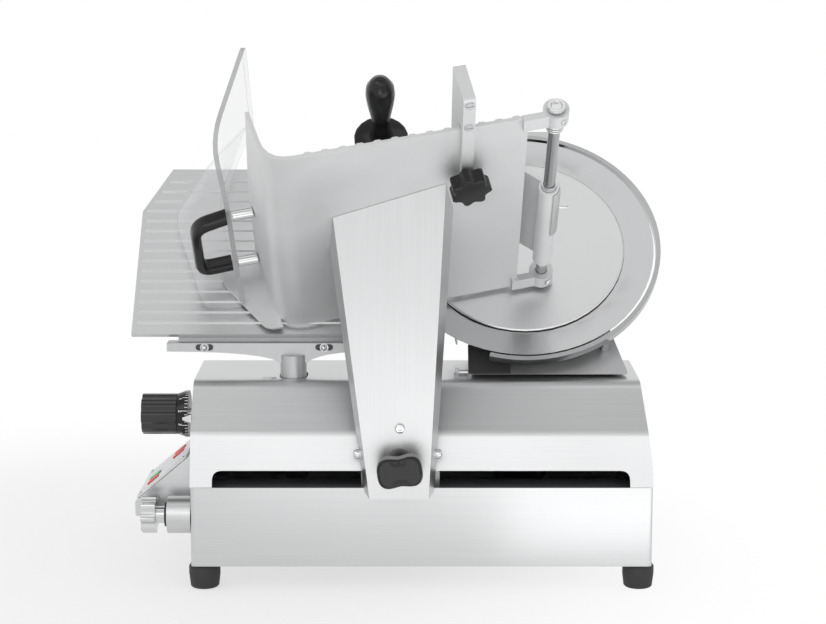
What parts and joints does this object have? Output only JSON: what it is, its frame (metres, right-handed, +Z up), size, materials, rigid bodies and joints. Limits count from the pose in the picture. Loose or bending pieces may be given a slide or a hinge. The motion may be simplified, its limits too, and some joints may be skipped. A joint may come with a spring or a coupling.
{
  "type": "electric food slicer",
  "caption": "Gravity-feed electric slicer: sloping round blade and ribbed gauge plate on a steel base, with a driven sliding tray, clear guard, fence and lifting pusher.",
  "frame": {"origin": "on the floor under the middle of the whole machine's box", "axes": "+X along the carriage's travel to the operator's right, +Y away from the operator, +Z up"},
  "size_m": [0.5716, 0.4822, 0.5572],
  "materials": {
    "stainless": "brushed stainless sheet",
    "satin": "satin anodised",
    "cast": "sanded casting",
    "polished": "polished",
    "knife": "ground and polished knife steel",
    "dark": "dark satin paint",
    "black": "black moulded, soft gloss",
    "rubber": "matt black rubber",
    "clear": "clear polished acrylic",
    "panel": "pale grey overlay",
    "red_key": "red key",
    "green_key": "green key"
  },
  "bodies": {
    "base": {"base_housing": "stainless", "bottom_plate": "stainless", "upper_cover": "stainless", "foot_front_left": "rubber", "foot_front_right": "rubber", "foot_rear_left": "rubber", "foot_rear_right": "rubber", "cable_gland": "black", "control_panel_box": "stainless", "control_panel_face": "panel", "blade_frame": "cast", "belt_cover": "stainless", "blade_ring_guard": "polished", "sharpener_seat": "satin", "slice_deflector": "stainless", "blade_belt": "rubber", "blade_cover": "satin", "blade_motor": "dark", "gauge_guide": "polished", "carriage_guide_rod": "polished", "carriage_rail": "polished", "rod_bracket_left": "cast", "rod_bracket_right": "cast", "carriage_gearmotor": "dark", "carriage_belt": "rubber", "clutch_boss": "stainless"},
    "blade": {"blade": "knife", "blade_spindle": "polished", "blade_pulley": "dark"},
    "motor_pulley": {"motor_pulley": "dark"},
    "blade_cover_knob": {"blade_cover_knob": "black"},
    "gauge": {"gauge_plate": "satin", "gauge_bracket": "cast"},
    "thickness_knob": {"thickness_knob": "black", "thickness_dial": "black", "thickness_shaft": "polished"},
    "carriage": {"carriage_block": "cast", "carriage_bush_left": "polished", "carriage_bush_right": "polished", "tray_arm": "stainless", "product_tray": "satin", "pusher_rod": "polished", "clear_guard": "clear", "guard_standoff_upper": "polished", "guard_standoff_lower": "polished", "guard_handle": "black"},
    "drive_pulley": {"carriage_drive_pulley": "dark"},
    "idler_pulley": {"carriage_idler_pulley": "dark"},
    "clutch_knob": {"clutch_knob": "polished"},
    "arm_knob": {"arm_knob": "black"},
    "fence": {"fence": "satin"},
    "fence_knob": {"fence_knob": "black"},
    "pusher_slider": {"pusher_bush": "polished"},
    "pusher": {"pusher_arm": "satin", "pusher_plate": "satin", "pusher_handle": "black"},
    "stop_button": {"stop_button": "red_key"},
    "start_button": {"start_button": "green_key"},
    "carriage_stop_button": {"carriage_stop_button": "red_key"},
    "carriage_start_button": {"carriage_start_button": "red_key"}
  },
  "joints": [
    {"name": "carriage_slide", "type": "slide", "parent": "base", "child": "carriage", "axis": [1, 0, 0], "range_m": [-0.138, 0.157]},
    {"name": "drive_pulley_turn", "type": "hinge", "parent": "base", "child": "drive_pulley", "pos_m": [-0.17575, 0.01684, 0.065], "axis": [0, 0, 1], "range_deg": [-460, 525]},
    {"name": "idler_pulley_turn", "type": "hinge", "parent": "base", "child": "idler_pulley", "pos_m": [0.22425, 0.01684, 0.065], "axis": [0, 0, 1], "range_deg": [-460, 525]},
    {"name": "blade_spin", "type": "hinge", "parent": "base", "child": "blade", "pos_m": [0.13425, 0.05984, 0.344], "axis": [0, -0.7349, 0.6782], "continuous": true},
    {"name": "motor_pulley_spin", "type": "hinge", "parent": "base", "child": "motor_pulley", "pos_m": [0.13425, 0.00351, 0.17826], "axis": [0, -0.7349, 0.6782], "continuous": true},
    {"name": "blade_cover_knob_turn", "type": "hinge", "parent": "base", "child": "blade_cover_knob", "pos_m": [0.13425, 0.05984, 0.344], "axis": [0, -0.7349, 0.6782], "range_deg": [0, 360]},
    {"name": "gauge_slide", "type": "slide", "parent": "base", "child": "gauge", "axis": [0, 0.7349, -0.6782], "range_m": [0, 0.015]},
    {"name": "thickness_turn", "type": "hinge", "parent": "base", "child": "thickness_knob", "pos_m": [-0.24425, -0.05316, 0.178], "axis": [1, 0, 0], "range_deg": [0, 300]},
    {"name": "clutch_turn", "type": "hinge", "parent": "base", "child": "clutch_knob", "pos_m": [-0.24425, -0.08116, 0.076], "axis": [1, 0, 0], "range_deg": [0, 360]},
    {"name": "arm_knob_turn", "type": "hinge", "parent": "carriage", "child": "arm_knob", "pos_m": [0.00125, -0.15, 0.144], "axis": [0, 1, 0], "range_deg": [0, 360]},
    {"name": "fence_slide", "type": "slide", "parent": "carriage", "child": "fence", "axis": [0.9763, 0.1468, 0.1591], "range_m": [-0.018, 0.03]},
    {"name": "fence_knob_turn", "type": "hinge", "parent": "fence", "child": "fence_knob", "pos_m": [0.06536, -0.14746, 0.44376], "axis": [-0.2164, 0.6621, 0.7175], "range_deg": [0, 360]},
    {"name": "pusher_slide", "type": "slide", "parent": "carriage", "child": "pusher_slider", "axis": [0, -0.7349, 0.6782], "range_m": [0, 0.075]},
    {"name": "pusher_lift", "type": "hinge", "parent": "pusher_slider", "child": "pusher", "pos_m": [0.15225, 0.02729, 0.30872], "axis": [0, 0.7349, -0.6782], "range_deg": [0, 75]},
    {"name": "stop_press", "type": "slide", "parent": "base", "child": "stop_button", "axis": [0.6454, 0, -0.7639], "range_m": [0, 0.001], "stiffness_N_per_m": 200, "springref_m": -0.001},
    {"name": "start_press", "type": "slide", "parent": "base", "child": "start_button", "axis": [0.6454, 0, -0.7639], "range_m": [0, 0.001], "stiffness_N_per_m": 200, "springref_m": -0.001},
    {"name": "carriage_stop_press", "type": "slide", "parent": "base", "child": "carriage_stop_button", "axis": [0.6454, 0, -0.7639], "range_m": [0, 0.001], "stiffness_N_per_m": 200, "springref_m": -0.001},
    {"name": "carriage_start_press", "type": "slide", "parent": "base", "child": "carriage_start_button", "axis": [0.6454, 0, -0.7639], "range_m": [0, 0.001], "stiffness_N_per_m": 200, "springref_m": -0.001}
  ],
  "couplings": [
    {"joint": "drive_pulley_turn", "follows": "carriage_slide", "rad_per_m": 57.8},
    {"joint": "idler_pulley_turn", "follows": "carriage_slide", "rad_per_m": 57.8},
    {"joint": "motor_pulley_spin", "follows": "blade_spin", "ratio": 1.7778},
    {"joint": "thickness_turn", "follows": "gauge_slide", "rad_per_m": 349}
  ]
}
